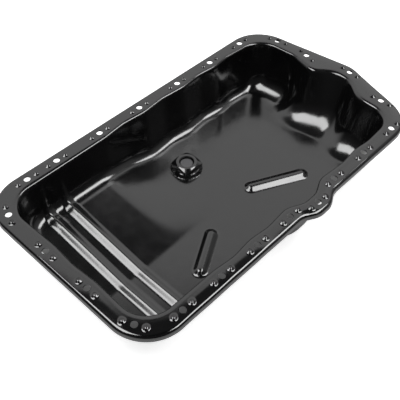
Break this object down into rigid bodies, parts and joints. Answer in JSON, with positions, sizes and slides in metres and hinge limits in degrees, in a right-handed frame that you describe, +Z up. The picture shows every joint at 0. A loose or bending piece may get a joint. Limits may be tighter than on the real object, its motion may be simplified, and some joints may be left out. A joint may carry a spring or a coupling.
{
  "type": "engine oil pan",
  "caption": "Shallow pressed-steel sump with a bolting flange, waved walls, a beaded floor and a welded drain nut closed by a plug and washer.",
  "frame": {"origin": "on the surface the pan stands on, under the middle of its box", "axes": "+X along the pan towards the end with the nose, +Y towards the straight bolt row, +Z up out of the open flange"},
  "size_m": [0.568, 0.3272, 0.0834],
  "materials": {
    "black_paint": "gloss black baked paint",
    "dark_steel": "dark phosphated steel",
    "copper_ring": "soft copper"
  },
  "bodies": {
    "root": {"pan_shell": "black_paint", "drain_nut": "black_paint", "drain_plug": "dark_steel", "plug_washer": "copper_ring"}
  },
  "joints": []
}
